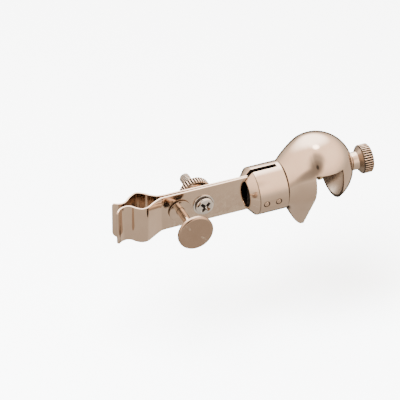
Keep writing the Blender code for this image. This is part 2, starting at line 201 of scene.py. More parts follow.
def cut(target, cutters):
    """Cuts the cutters out of a piece at once and removes them."""
    for cutter in cutters:
        change = target.modifiers.new("cut", "BOOLEAN")
        change.operation = "DIFFERENCE"
        change.solver = "EXACT"
        change.object = cutter
    apply_modifiers(target)
    for cutter in cutters:
        bpy.data.objects.remove(cutter)


def apply_modifiers(target):
    seen = bpy.context.evaluated_depsgraph_get()
    new = bpy.data.meshes.new_from_object(target.evaluated_get(seen))
    target.modifiers.clear()
    target.data = new


def reshade(target, sharp=EDGE_SHARP):
    target.data.shade_smooth()
    target.data.set_sharp_from_angle(angle=math.radians(sharp))


def as_cutter(bm):
    return finish_mesh(bm, "cutter", STEEL)


def box(low, high):
    """A box between two corners."""
    bm = bmesh.new()
    bmesh.ops.create_cube(bm, size=1.0)
    low, high = Vector(low), Vector(high)
    for vert in bm.verts:
        vert.co = (low + high) / 2 + Vector(a * b for a, b in zip(vert.co, high - low))
    return bm


def drill(radius, low, high, axis, origin, steps=64):
    """A cutter for a round hole along X or Y."""
    bm = revolve([Vector((0, low)), Vector((radius, low)), Vector((radius, high)), Vector((0, high))], steps)
    bm.transform(along(axis, origin))
    return as_cutter(bm)


def turned_piece(name, node, body, profile, axis, origin, material, steps=96):
    """A turned piece with filleted corners that stands for a CAD node and rides on its body."""
    bm = revolve(filleted(profile), steps)
    bm.transform(along(axis, origin))
    return dress(finish_mesh(bm, name, material), node, body)


def dress(piece, node, body):
    """Puts a piece in a CAD node's place."""
    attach(piece, body)
    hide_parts(node)
    return piece


def pin_axis(pin):
    """The middle of a cross pin, on the arm's plane of symmetry."""
    low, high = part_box(pin)
    centre = (low + high) / 2
    return Vector((centre.x, 0, centre.z))


def pin_drills(reach):
    """Cutters for the holes of the two cross pins."""
    return [drill(PIN_HOLE_R, -reach, reach, "Y", pin_axis(pin), 32) for pin in PINS]


# ---------------------------------------------------------------- materials


def nodes_of(material):
    """A material's node tree and its shader."""
    material.use_nodes = True
    tree = material.node_tree
    return tree, tree.nodes["Principled BSDF"]


def add(tree, kind, **values):
    """A new node with the inputs or properties given by name."""
    node = tree.nodes.new(kind)
    for key, value in values.items():
        if key in node.inputs:
            node.inputs[key].default_value = value
        else:
            setattr(node, key, value)
    return node


def ramp(tree, factor, stops):
    """A colour ramp through (place, colour) stops."""
    node = tree.nodes.new("ShaderNodeValToRGB")
    elements = node.color_ramp.elements
    while len(elements) < len(stops):
        elements.new(0.5)
    for element, (place, colour) in zip(elements, stops):
        element.position = place
        element.color = colour if len(colour) == 4 else (*colour, 1.0)
    tree.links.new(factor, node.inputs["Fac"])
    return node


def mix_colour(tree, factor, a, b):
    """Mixes a into b by the factor; each may be a value or another node's output."""
    node = tree.nodes.new("ShaderNodeMix")
    node.data_type = "RGBA"
    for socket, value in ((node.inputs["Factor"], factor), (node.inputs[6], a), (node.inputs[7], b)):
        if isinstance(value, bpy.types.NodeSocket):
            tree.links.new(value, socket)
        else:
            socket.default_value = value
    return node.outputs[2]


def plated(name, colour, tint, rough=(0.06, 0.16), wave=0.2, scratch=0.25, worn=(0.80, 0.72, 0.62)):
    """Polished plate: slow colour drift, smudged roughness, hairline scratches and brighter worn edges."""
    material = bpy.data.materials.new(name)
    tree, shader = nodes_of(material)
    link = tree.links.new
    shader.inputs["Metallic"].default_value = 1.0
    place = add(tree, "ShaderNodeTexCoord").outputs["Object"]

    drift = add(tree, "ShaderNodeTexNoise", Scale=85.0, Detail=3.0, Roughness=0.55)
    link(place, drift.inputs["Vector"])
    soft = ramp(tree, drift.outputs["Fac"], [(0.30, (0, 0, 0)), (0.70, (1, 1, 1))])
    base = mix_colour(tree, soft.outputs["Color"], (*colour, 1), (*tint, 1))
    geometry = add(tree, "ShaderNodeNewGeometry")
    edge = ramp(tree, geometry.outputs["Pointiness"], [(0.53, (0, 0, 0)), (0.62, (1, 1, 1))])
    wear = add(tree, "ShaderNodeTexNoise", Scale=700.0, Detail=4.0, Roughness=0.7)
    link(place, wear.inputs["Vector"])
    patchy = ramp(tree, wear.outputs["Fac"], [(0.42, (0, 0, 0)), (0.62, (0.7, 0.7, 0.7))])
    both = add(tree, "ShaderNodeMath", operation="MULTIPLY")
    link(edge.outputs["Color"], both.inputs[0])
    link(patchy.outputs["Color"], both.inputs[1])
    link(mix_colour(tree, both.outputs[0], base, (*worn, 1)), shader.inputs["Base Color"])

    smudge = add(tree, "ShaderNodeTexNoise", Scale=240.0, Detail=5.0, Roughness=0.6)
    link(place, smudge.inputs["Vector"])
    spread = add(tree, "ShaderNodeMapRange")
    for key, value in (("From Min", 0.35), ("From Max", 0.70), ("To Min", rough[0]), ("To Max", rough[1])):
        spread.inputs[key].default_value = value
    link(smudge.outputs["Fac"], spread.inputs["Value"])
    link(spread.outputs["Result"], shader.inputs["Roughness"])

    stretch = add(tree, "ShaderNodeMapping")
    stretch.inputs["Scale"].default_value = (400.0, 6000.0, 6000.0)
    stretch.inputs["Rotation"].default_value = (0.3, 0.1, 0.25)
    link(place, stretch.inputs["Vector"])
    hair = add(tree, "ShaderNodeTexNoise", Scale=1.0, Detail=4.0, Roughness=0.8)
    link(stretch.outputs["Vector"], hair.inputs["Vector"])
    ripple = add(tree, "ShaderNodeTexNoise", Scale=160.0, Detail=2.0)
    link(place, ripple.inputs["Vector"])
    fine = add(tree, "ShaderNodeBump", Strength=scratch, Distance=0.000004)
    link(hair.outputs["Fac"], fine.inputs["Height"])
    broad = add(tree, "ShaderNodeBump", Strength=wave, Distance=0.00004)
    link(ripple.outputs["Fac"], broad.inputs["Height"])
    link(fine.outputs["Normal"], broad.inputs["Normal"])
    link(broad.outputs["Normal"], shader.inputs["Normal"])
    return material


NICKEL = plated("warm_nickel", (0.60, 0.495, 0.41), (0.67, 0.565, 0.475))
NICKEL_DULL = plated("handled_nickel", (0.38, 0.295, 0.235), (0.46, 0.365, 0.295), rough=(0.12, 0.24))
NICKEL_TURNED = plated("turned_nickel", (0.54, 0.425, 0.335), (0.61, 0.49, 0.395), rough=(0.12, 0.24),
                       scratch=0.4)
BRIGHT = plated("bright_nickel", (0.70, 0.72, 0.73), (0.78, 0.80, 0.82), rough=(0.05, 0.13))
STEEL = plated("plain_steel", (0.55, 0.54, 0.53), (0.63, 0.62, 0.60), rough=(0.22, 0.36), scratch=0.5)
BRASS = plated("plain_brass", (0.66, 0.52, 0.32), (0.74, 0.60, 0.38), rough=(0.18, 0.32), scratch=0.5)
# dull rough nickel, darkened as painted shade, for hollows, creases, undersides and the collar's edge
DULL_NICKEL_IN_SHADE = plated("inside_nickel", (0.20, 0.175, 0.15), (0.28, 0.245, 0.21), rough=(0.22, 0.40), scratch=0.5,
                worn=(0.40, 0.35, 0.30))
# near-black painted shade for bores, recesses, knurl grooves, thread roots and the strips' held ends
PAINTED_SHADE = plated("tarnish", (0.0030, 0.0021, 0.0016), (0.0075, 0.0054, 0.0040), rough=(0.50, 0.70),
                 scratch=0.5, worn=(0.020, 0.015, 0.011))
for socket, value in (("Metallic", 0.0), ("Specular IOR Level", 0.15)):
    nodes_of(PAINTED_SHADE)[1].inputs[socket].default_value = value


def inlay(piece, material, chosen):
    """Gives the faces whose centre and normal are chosen a second material."""
    piece.data.materials.append(material)
    index = len(piece.data.materials) - 1
    for face in piece.data.polygons:
        if chosen(face.center, face.normal):
            face.material_index = index


def off_axis(point, axis, origin):
    """Distance of a point from a line along X or Y through the origin given."""
    gap = point - origin
    gap["XYZ".index(axis)] = 0.0
    return gap.length


# ---------------------------------------------------------------- ball, neck and inner jaw

# x and z are taken from the ball's centre
AXIS_DROP = ARM_Z - BALL.z  # height of the arm's axis
NECK_R = 7.9 * MM
FLARE_X = -9.06 * MM  # where the neck's upper side meets the cone that runs into the ball
FLARE_R = 9.7 * MM
FLARE_Z = -0.8 * MM
TONGUE_X = -5.0 * MM  # from here to the slot the inner jaw has its full depth
JAW_RING_X = -4.8 * MM  # the first ring past it
FADE_X = -3.0 * MM  # from here to the outer jaw's plane the form returns to a plain ball, inside the slot
OUTER_X = 5.4 * MM
JAW_EASE = 0.85  # below 1 the jaw's lower edge comes down sooner
TONGUE_TIP_R = 1.1 * MM
TONGUE_TIP_Z = BALL_LOW.z - BALL.z
EVEN_OUT = 1.6 * MM  # sections are averaged over this much to each side
NECK_STEPS = 24
SECTION_STEPS = 64
BUSHING_HOLE_R = 2.92 * MM
BUSHING_HOLE_X = (8 * MM, 16 * MM)  # in the frame: from the hollow to outside the ball
INLAY_GAP = 0.03 * MM  # tolerance on where the inner face is
LOW_TURN = 122.0  # degrees round a circle, from the top, at FLANK_U
# shares of the way round a section, from the top
FLANK_U = 0.62  # where the inner jaw's straight flank begins
TIP_U = 0.86  # where it ends and the round tip begins
MIX_U, MIX_SPAN = 0.45, 0.2  # over this span the ball's circle gives way to the jaw's outline


def mixed(low, high, t):
    return low + (high - low) * t


def smoothstep(t):
    t = min(max(t, 0.0), 1.0)
    return t * t * (3 - 2 * t)


def circle_point(radius, centre_z, u):
    """A point of a section's circle, as (y, z)."""
    if u < FLANK_U:
        turn = math.radians(mixed(0.0, LOW_TURN, u / FLANK_U))
    else:
        turn = math.radians(mixed(LOW_TURN, 180.0, (u - FLANK_U) / (1.0 - FLANK_U)))
    return Vector((radius * math.sin(turn), centre_z + radius * math.cos(turn)))


def jaw_point(u):
    """Outline of the inner jaw: the ball's circle, straight flanks, a round tip."""
    big = math.sqrt(BALL_R**2 - TONGUE_X**2)
    small_z = TONGUE_TIP_Z + TONGUE_TIP_R
    flank_top = math.pi / 2 + math.asin((big - TONGUE_TIP_R) / -small_z)
    if u < FLANK_U:
        turn = mixed(0.0, flank_top, u / FLANK_U)
        return Vector((big * math.sin(turn), big * math.cos(turn)))
    start = Vector((big * math.sin(flank_top), big * math.cos(flank_top)))
    end = Vector((TONGUE_TIP_R * math.sin(flank_top), small_z + TONGUE_TIP_R * math.cos(flank_top)))
    if u < TIP_U:
        return start.lerp(end, (u - FLANK_U) / (TIP_U - FLANK_U))
    turn = mixed(flank_top, math.pi, (u - TIP_U) / (1.0 - TIP_U))
    return Vector((TONGUE_TIP_R * math.sin(turn), small_z + TONGUE_TIP_R * math.cos(turn)))


def neck_circle(x):
    """Radius and centre height of the upper part of the section at x."""
    if x > TONGUE_X:
        return math.sqrt(max(BALL_R**2 - x**2, 0.0)), 0.0
    if x > FLARE_X:
        t = (x - FLARE_X) / (TONGUE_X - FLARE_X)
        return mixed(FLARE_R, math.sqrt(BALL_R**2 - TONGUE_X**2), t), mixed(FLARE_Z, 0.0, t)
    t = (x - NECK_X) / (FLARE_X - NECK_X)
    return mixed(NECK_R, FLARE_R, t), mixed(AXIS_DROP, FLARE_Z, t)


def raw_section(x, jaw_x):
    """Half of the shell's section at x with its jaw as at jaw_x, from top to bottom, as (y, z)."""
    radius, centre = neck_circle(x)
    reach = smoothstep(max((jaw_x - NECK_X) / (TONGUE_X - NECK_X), 0.0) ** JAW_EASE)
    points = []
    for i in range(SECTION_STEPS + 1):
        u = i / SECTION_STEPS
        lower = circle_point(NECK_R, AXIS_DROP, u).lerp(jaw_point(u), reach)
        share = smoothstep((u - MIX_U) / MIX_SPAN)
        share *= smoothstep((OUTER_X - x) / (OUTER_X - FADE_X))
        points.append(circle_point(radius, centre, u).lerp(lower, share))
    return points


def section(x):
    """Half of the shell's section at x, evened out with its neighbours where the neck runs into the ball."""
    spread = min(EVEN_OUT, x - NECK_X) * smoothstep((FADE_X - x) / EVEN_OUT)
    near = [raw_section(x + spread * step, x) for step in (-1.0, -0.5, 0.0, 0.5, 1.0)]
    return [sum(points, Vector((0, 0))) / len(near) for points in zip(*near)]


def ball_shell():
    neck = [mixed(NECK_X, TONGUE_X, i / NECK_STEPS) for i in range(NECK_STEPS + 1)]
    ball = [BALL_R * math.sin(math.radians(a / 2)) for a in range(-44, 178, 5)]
    bm = bmesh.new()
    rings = []
    for x in neck + [JAW_RING_X] + [x for x in ball if x > JAW_RING_X + 0.05 * MM]:
        half = section(x)
        ring = [bm.verts.new((x, p.x, p.y)) for p in half]
        ring += [bm.verts.new((x, -p.x, p.y)) for p in reversed(half[1:-1])]
        rings.append(ring)
    for left, right in zip(rings, rings[1:]):
        bridge(bm, right, left)
    pole = bm.verts.new((BALL_R, 0.0, 0.0))
    last = rings[-1]
    for i, vert in enumerate(last):
        bm.faces.new((pole, last[(i + 1) % len(last)], vert))
    bm.transform(Matrix.Translation(BALL))
    shell = finish_mesh(bm, "ball_body", NICKEL)
    skin = shell.modifiers.new("wall", "SOLIDIFY")
    skin.thickness = BALL_WALL
    skin.offset = -1.0
    past = 3 * BALL_R
    slot = as_cutter(box((SLOT_INNER_X, -past, -past), (SLOT_INNER_X + SLOT_WIDTH, past, 0.0)))
    cut(shell, [slot, drill(BUSHING_HOLE_R, *BUSHING_HOLE_X, "X", AT_RIM)])
    soften_edges(shell, 0.11 * MM)

    def inner_side(c, n):
        """On the shell's inner face, past the neck."""
        out = c - BALL
        deep = out.length < BALL_R - BALL_WALL + INLAY_GAP and out.x > FLARE_X
        return deep and n.dot(out.normalized()) < -0.3

    # painted shade on the hollow's inner face
    inlay(shell, DULL_NICKEL_IN_SHADE, inner_side)
    dress(shell, "ball_shell", "clamp_body")


def soften_edges(piece, width, angle=50.0, segments=2):
    """Rounds the sharp edges of a cut piece."""
    bm = bmesh.new()
    bm.from_mesh(piece.data)
    bmesh.ops.remove_doubles(bm, verts=bm.verts, dist=2e-6)
    edges = [e for e in bm.edges if e.is_manifold and e.calc_face_angle(0.0) > math.radians(angle)]
    bmesh.ops.bevel(bm, geom=edges, offset=width, offset_type="OFFSET", segments=segments, profile=0.5,
                    affect="EDGES", clamp_overlap=True)
    bm.to_mesh(piece.data)
    bm.free()
    reshade(piece, 42.0)


ball_shell()


# ---------------------------------------------------------------- rim screw

KNURL_TEETH = 36
KNURL_DEPTH = 0.45 * MM
KNURL_CHAMFER = 0.4 * MM
KNURL_CROWN = 1.6  # above 1 the ridges are wider than the grooves
KNURL_SLOPE = 1.05  # how much the chamfer takes off the radius for each unit of length
RIM_HEAD_LENGTH = 3.7 * MM
RIM_SHANK_R = 1.75 * MM
SHOULDER_R = 3.1 * MM
SHOULDER_LENGTH = 3.3 * MM  # with the cone
CONE_LENGTH = 1.1 * MM
CONE_R = 4.7 * MM
SEAM = 0.1 * MM  # how far a shank runs into its head
RIM_BORE_R = 1.87 * MM


def knurl(radius, low, high, per_tooth=10, end_steps=5):
    """A straight-knurled drum about Z with rounded grooves and chamfered ends, for heightfield."""

    def radius_at(turn, height):
        groove = (0.5 - 0.5 * math.cos(turn * KNURL_TEETH)) ** KNURL_CROWN
        short = max(low + KNURL_CHAMFER - height, height - high + KNURL_CHAMFER, 0.0)
        return min(radius - KNURL_DEPTH * groove, radius - short * KNURL_SLOPE)

    heights = [low + KNURL_CHAMFER * i / end_steps for i in range(end_steps + 1)]
    heights += [high - KNURL_CHAMFER * (end_steps - i) / end_steps for i in range(end_steps + 1)]
    return radius_at, heights, KNURL_TEETH * per_tooth


def grooves(piece, axis, origin, radius, ends):
    """Painted shade in the grooves of a knurl between its ends."""
    i = "XYZ".index(axis)
    bottom = radius - 0.3 * KNURL_DEPTH
    inlay(piece, PAINTED_SHADE, lambda c, n: off_axis(c, axis, origin) < bottom
          and abs(n[i]) < 0.5 and ends[0] < c[i] < ends[1])


def rim_screw():
    low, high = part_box("rim_screw")
    head_x = high.x - RIM_HEAD_LENGTH
    head_r = (high.z - low.z) / 2
    head = heightfield(*knurl(head_r, head_x, high.x))
    head.transform(along("X", AT_RIM))
    head = finish_mesh(head, "rim_screw_head", NICKEL_TURNED, 32.0)
    grooves(head, "X", AT_RIM, head_r, (head_x, high.x))
    # painted shade on the head's back face, which turns toward the ball
    inlay(head, PAINTED_SHADE, lambda c, n: n.x < -0.5)
    shoulder_x = head_x - SHOULDER_LENGTH
    cone_x = head_x - CONE_LENGTH
    shank = revolve(filleted([
        (0, low.x, 0), (RIM_SHANK_R - 0.4 * MM, low.x, 0), (RIM_SHANK_R, low.x + 0.4 * MM, 0),
        (RIM_SHANK_R, shoulder_x, 0), (SHOULDER_R, shoulder_x, 0.3 * MM), (SHOULDER_R, cone_x, 0.2 * MM),
        (CONE_R, head_x + SEAM, 0), (0, head_x + SEAM, 0),
    ]), 96)
    shank.transform(along("X", AT_RIM))
    shank = finish_mesh(shank, "rim_screw_shank", NICKEL)
    # painted shade on the cone under the head
    inlay(shank, DULL_NICKEL_IN_SHADE, lambda c, n: c.x > cone_x and n.x < -0.3)
    dress(head, "rim_screw", "rim_screw")
    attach(shank, "rim_screw")


def pad_and_bushing():
    low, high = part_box("rim_pad")
    face_r, collar_r, step = 3.5 * MM, 2.7 * MM, low.x + 1.2 * MM
    turned_piece("rim_pad_disc", "rim_pad", "rim_pad", [
        (0, low.x, 0), (face_r, low.x, 0.25 * MM), (face_r, step, 0.25 * MM), (collar_r, step, 0.1 * MM),
        (collar_r, high.x, 0.2 * MM), (RIM_BORE_R, high.x, 0.1 * MM), (RIM_BORE_R, step, 0), (0, step, 0),
    ], "X", AT_RIM, BRASS)
    low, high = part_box("screw_bushing")
    ring_r = 2.8 * MM
    turned_piece("bushing_ring", "screw_bushing", "clamp_body", [
        (RIM_BORE_R, low.x, 0), (ring_r, low.x, 0.1 * MM), (ring_r, high.x, 0.2 * MM),
        (RIM_BORE_R, high.x, 0),
    ], "X", AT_RIM, NICKEL)


rim_screw()
pad_and_bushing()


# ---------------------------------------------------------------- barrel

BEVEL = 2.4 * MM  # length of the bevelled mouth
MOUTH_R = (5.0 * MM, 5.6 * MM)  # inner and outer radius of its edge
STUD_BORE_R = 1.72 * MM
END_WALL = 1.0 * MM
SLOT_HALF = 0.9 * MM
PIN_R = 0.9 * MM


def barrel():
    left, right = BARREL_LOW.x, BARREL_HIGH.x
    inner = BARREL_R - 0.85 * MM
    foot = left + BEVEL
    bm = revolve(filleted([
        (STUD_BORE_R, right, 0), (BARREL_R, right, 0.22 * MM), (BARREL_R, foot + 0.30 * MM, 0.05 * MM),
        (BARREL_R - 0.16 * MM, foot + 0.16 * MM, 0.05 * MM), (BARREL_R - 0.05 * MM, foot, 0.1 * MM),
        (MOUTH_R[1], left, 0.15 * MM), (MOUTH_R[0], left, 0.15 * MM), (MOUTH_R[0], left + 0.4 * MM, 0.1 * MM),
        (inner, foot + 0.2 * MM, 0.3 * MM), (inner, right - END_WALL, 0), (STUD_BORE_R, right - END_WALL, 0),
    ]), 128)
    bm.transform(along("X", AT_ARM))
    tube = finish_mesh(bm, "barrel_tube", NICKEL)
    slot_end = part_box("friction_washer")[0].x - 0.1 * MM
    past = 10 * MM
    slot = as_cutter(box((left - 1 * MM, -SLOT_HALF, ARM_Z - past), (slot_end, SLOT_HALF, ARM_Z + past)))
    cut(tube, [slot] + pin_drills(past))
    soften_edges(tube, 0.10 * MM)

    def hidden(c, n):
        """Inside the barrel, or on a wall of its slot."""
        out = Vector((0, c.y, c.z - ARM_Z))
        inside = out.length < BARREL_R - 0.3 * MM and c.x > left + 0.3 * MM
        in_slot = abs(c.y) < SLOT_HALF + 0.1 * MM and out.length < BARREL_R - 0.1 * MM
        return abs(n.y) > 0.9 and in_slot or inside and (n.dot(out) < 0.0 or abs(n.x) > 0.9)

    def in_grooves(c, n):
        """In the groove at the bevel's foot, or on the rounded edge beside the ball's neck."""
        outside = off_axis(c, "X", AT_ARM) > BARREL_R - 0.2 * MM
        return outside and (c.x > right - 0.2 * MM or 0.0 < c.x - foot < 0.3 * MM)

    # painted shade inside the barrel and on the walls of its slot
    inlay(tube, PAINTED_SHADE, hidden)
    # painted lines of shade in the groove at the bevel's foot and on the edge beside the ball's neck
    inlay(tube, DULL_NICKEL_IN_SHADE, in_grooves)
    dress(tube, "barrel", "arm")


def cross_pins():
    for pin in PINS:
        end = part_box(pin)[1].y - 0.02 * MM
        shoulder = end - 0.1 * MM
        turned_piece(pin + "_rivet", pin, "arm", [
            (0, -end, 0), (PIN_R, -shoulder, 0.3 * MM), (PIN_R, shoulder, 0.3 * MM), (0, end, 0),
        ], "Y", pin_axis(pin), NICKEL_TURNED, steps=40)


barrel()
cross_pins()


# ---------------------------------------------------------------- jaw strips

STRIP_T = 0.65 * MM
STRIP_H = 2 * (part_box("front_jaw")[1].z - ARM_Z)
JAW_DROP = ARM_Z - STRIP_H / 2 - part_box("front_jaw")[0].z
JAW_DROP_X = (BALL.x - 55 * MM, BALL.x - 60 * MM)
CREASE_X = BALL.x - 55.5 * MM
REAR_BEND = Vector((BALL.x - 45 * MM, 0.7 * MM))
TIP_HIGH_R = 1.0 * MM  # corner radii of the free ends
TIP_LOW_R = 2.2 * MM
EDGE_R = 0.16 * MM
STRIP_Y = 0.375 * MM  # middle of a strip where the two run side by side
SIDE_BY_SIDE = 4 * MM  # cutters reach this far through both strips
FRONT_HOLES = (1.92 * MM, 1.85 * MM)  # radii at the cross screw and at the thumb screw
REAR_HOLES = (2.35 * MM, 1.52 * MM)
HELD_X = BARREL_LOW.x + 1.2 * MM  # from here the strips are painted in shade, inside the barrel
FRONT_JAW = [  # middle of the front strip past its crease, from the ball's centre in mm
    (-56.8, -0.4), (-59.0, -1.3), (-61.2, -2.6), (-63.0, -3.6), (-65.0, -3.6), (-66.6, -2.3), (-67.7, -0.9),
    (-69.0, -0.2), (-70.5, -0.3), (-72.0, -1.0), (-73.5, -2.6),
]
REAR_JAW = [  # the same for the rear strip past the thumb screw
    (-53.0, 0.9), (-54.8, 0.9), (-56.4, 1.1), (-57.8, 1.5), (-59.5, 2.7), (-61.2, 4.4), (-63.5, 5.7),
    (-66.3, 4.3), (-67.8, 2.9), (-69.0, 2.1), (-70.4, 1.9), (-71.8, 2.4), (-73.1, 3.2),
]


def smooth_path(points, steps=8):
    """Points on one smooth curve through all the given ones (Catmull-Rom)."""
    points = [Vector(p) * MM + Vector((BALL.x, 0)) for p in points]
    ends = [points[0] * 2 - points[1]] + points + [points[-1] * 2 - points[-2]]
    path = []
    for a, b, c, d in zip(ends, ends[1:], ends[2:], ends[3:]):
        for i in range(steps):
            t = i / steps
            path.append(0.5 * (2 * b + (c - a) * t + (2 * a - 5 * b + 4 * c - d) * t**2
                               + (3 * b - a - 3 * c + d) * t**3))
    path.append(ends[-2])
    return path


def tip_steps(path):
    """The path with fine steps where the free end's corners are rounded."""
    last, before = path[-1], path[-2]
    away = (before - last).normalized()
    kept = [p for p in path if (p - last).length > TIP_LOW_R * 1.02]
    turns = [math.radians(a) for a in range(0, 91, 6)]
    return kept + [last + away * TIP_LOW_R * (1 - math.sin(a)) for a in turns]


def inset(radius, left):
    """How far a rounded corner draws in an edge, this far from its end."""
    short = max(radius - left, 0.0)
    return radius - math.sqrt(max(radius**2 - short**2, 0.0))


def rounded_section(half_t, half_h, corner):
    """Outline of the strip's cross-section as (across, up)."""
    corner = min(corner, half_t * 0.98, half_h * 0.98)
    points = []
    for sx, sz, start in ((1, 1, 0), (-1, 1, 90), (-1, -1, 180), (1, -1, 270)):
        for k in range(4):
            turn = math.radians(start + 30 * k)
            points.append((sx * (half_t - corner) + corner * math.cos(turn),
                           sz * (half_h - corner) + corner * math.sin(turn)))
    return points


def strip_mesh(path):
    """Sweeps the strip's rounded cross-section along a path of (x, y) points, with a rounded far end."""
    bm = bmesh.new()
    runs = [0.0]
    for a, b in zip(path, path[1:]):
        runs.append(runs[-1] + (b - a).length)
    rings = []
    for i, point in enumerate(path):
        before = path[max(i - 1, 0)]
        after = path[min(i + 1, len(path) - 1)]
        ahead = (after - before).normalized()
        side = Vector((-ahead.y, ahead.x))
        left = runs[-1] - runs[i]
        half_t = STRIP_T / 2 - inset(EDGE_R, left)
        drop = JAW_DROP * smoothstep((JAW_DROP_X[0] - point.x) / (JAW_DROP_X[0] - JAW_DROP_X[1]))
        ring = []
        for across, up in rounded_section(half_t, STRIP_H / 2, EDGE_R):
            spot = point + side * across
            up -= inset(TIP_HIGH_R, left) if up > 0 else drop - inset(TIP_LOW_R, left)
            ring.append(bm.verts.new((spot.x, spot.y, ARM_Z + up)))
        rings.append(ring)
    for lower, upper in zip(rings, rings[1:]):
        bridge(bm, lower, upper)
    bm.faces.new(rings[0])
    bm.faces.new(rings[-1])
    return bm


def straight(a, b, steps):
    """Points from a up to but not including b."""
    return [a.lerp(b, i / steps) for i in range(steps)]


def jaw_strip(name, path, cross_r, thumb_r):
    """A strip with its holes, painted in shade where it is held in the barrel."""
    strip = finish_mesh(strip_mesh(path), name, NICKEL)
    holes = [drill(r, -SIDE_BY_SIDE, SIDE_BY_SIDE, "Y", at) for r, at in ((cross_r, CROSS), (thumb_r, THUMB))]
    cut(strip, pin_drills(SIDE_BY_SIDE) + holes)
    reshade(strip)
    # painted shade on the part held in the barrel
    inlay(strip, PAINTED_SHADE, lambda c, n: c.x > HELD_X)
    return strip


def jaws():
    root_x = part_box("rear_jaw")[1].x
    start = Vector((root_x, -STRIP_Y))
    near = Vector((FLEX.x + 1.5 * MM, -STRIP_Y))
    far = Vector((FLEX.x - 4 * MM, -STRIP_Y))
    crease = Vector((CREASE_X, -STRIP_Y))
    path = straight(start, near, 4) + straight(near, far, 16) + straight(far, crease, 10) + [crease]
    front = jaw_strip("front_strip", path + tip_steps(smooth_path(FRONT_JAW)), *FRONT_HOLES)
    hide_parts("front_jaw", "front_jaw_root")
    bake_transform(front)

    curve = smooth_path(REAR_JAW)
    start = Vector((root_x, STRIP_Y))
    mouth = Vector((FLEX.x, STRIP_Y))
    path = straight(start, mouth, 6) + straight(mouth, REAR_BEND, 8) + straight(REAR_BEND, curve[0], 4)
    rear = jaw_strip("rear_strip", path + tip_steps(curve), *REAR_HOLES)
    dress(rear, "rear_jaw", "arm")


jaws()


# ---------------------------------------------------------------- screws through the strips

PITCH = 0.8 * MM
THREAD_DEPTH = 0.42 * PITCH
CREST, FLANK = 0.12, 0.76  # shares of half a pitch
CROSS_R = 1.8 * MM
CROSS_BORE_R = 1.92 * MM
THUMB_R = 1.4 * MM
THUMB_BORE_R = 1.52 * MM
CROSS_HEAD = 2.1 * MM  # height of the head, with the flange
CROSS_HEAD_R = 3.2 * MM
CROSS_DOME = 0.8 * MM
CROSS_FLANGE = 0.4 * MM
CROSS_RECESS = (5.0 * MM, 1.4 * MM, 1.2 * MM)  # length, depth and width of each of its two slots
RECESS_TAPER = (0.35, 0.65)  # share of the length and of the width left at the bottom
RECESS_ZONE = (2.45 * MM, 1.5 * MM)  # the recess's faces are within this radius and depth
DOME_NORMAL = -0.72  # and turned further from -Y than the dome's
CROSS_START_Y = 1.0 * MM  # where the thread begins, inside the strips
THUMB_START_Y = -0.4 * MM


def thread(radius, low, high, chamfer, steps=48, rows_per_turn=10):
    """A right-handed threaded shank about Z, its ends chamfered."""

    def radius_at(turn, height):
        phase = (height / PITCH - turn / math.tau) % 1.0
        crest = abs(phase - 0.5) * 2
        groove = THREAD_DEPTH * min(max((1.0 - CREST - crest) / FLANK, 0.0), 1.0)
        short = max(low + chamfer - height, height - high + chamfer, 0.0)
        return min(radius - groove, radius - short)

    count = max(int((high - low) / PITCH * rows_per_turn), 4)
    heights = [low + (high - low) * i / count for i in range(count + 1)]
    return heightfield(radius_at, heights, steps)


def threaded(name, origin, radius, low, high, chamfer, material, body):
    """A threaded shank along Y with painted shade in its roots."""
    bm = thread(radius, low, high, chamfer)
    bm.transform(along("Y", origin))
    shank = finish_mesh(bm, name, material, 60.0)
    root = radius - 0.55 * THREAD_DEPTH
    # painted shade in the thread's roots
    inlay(shank, PAINTED_SHADE, lambda c, n: off_axis(c, "Y", origin) < root and abs(n.y) < 0.95)
    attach(shank, body)


def recess_bar(low_y, turn):
    """A cutter for one of the two slots of the cross recess."""
    length, depth, width = CROSS_RECESS
    bar = box((-length / 2, low_y - SEAM, -width / 2), (length / 2, low_y + depth, width / 2))
    for vert in bar.verts:
        if vert.co.y > low_y:
            vert.co.x *= RECESS_TAPER[0]
            vert.co.z *= RECESS_TAPER[1]
    at = Matrix.Translation(Vector((CROSS.x, 0, CROSS.z)))
    bar.transform(at @ Matrix.Rotation(math.radians(turn), 4, "Y"))
    return as_cutter(bar)


def cross_screw():
    low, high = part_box("cross_head_screw")
    under = low.y + CROSS_HEAD
    flange = under - CROSS_FLANGE
    flange_r = (high.z - low.z) / 2
    rim = low.y + CROSS_DOME
    turns = [math.radians(a) for a in range(0, 91, 6)]
    dome = [(CROSS_HEAD_R * math.sin(a), rim - (rim - low.y) * math.cos(a), 0) for a in turns]
    bm = revolve(filleted(dome + [
        (CROSS_HEAD_R, flange, 0), (flange_r, flange, 0.15 * MM), (flange_r, under, 0.1 * MM),
        (1.75 * MM, under, 0), (1.75 * MM, CROSS_START_Y, 0), (0, CROSS_START_Y, 0),
    ]), 96)
    bm.transform(along("Y", CROSS))
    head = finish_mesh(bm, "cross_head", BRIGHT)
    cut(head, [recess_bar(low.y, turn) for turn in (45.0, 135.0)])
    soften_edges(head, 0.06 * MM)

    def shaded(c, n):
        """In the recess, or on the wall between the dome and the flange."""
        away = off_axis(c, "Y", CROSS)
        in_recess = away < RECESS_ZONE[0] and c.y < low.y + RECESS_ZONE[1] and n.y > DOME_NORMAL
        return in_recess or (away < CROSS_HEAD_R + 0.05 * MM and rim < c.y < flange)

    # painted shade in the cross recess and on the wall between the dome and the flange
    inlay(head, PAINTED_SHADE, shaded)
    dress(head, "cross_head_screw", "front_jaw")
    threaded("cross_shank", CROSS, CROSS_R, CROSS_START_Y, high.y, 0.45 * MM, STEEL, "front_jaw")


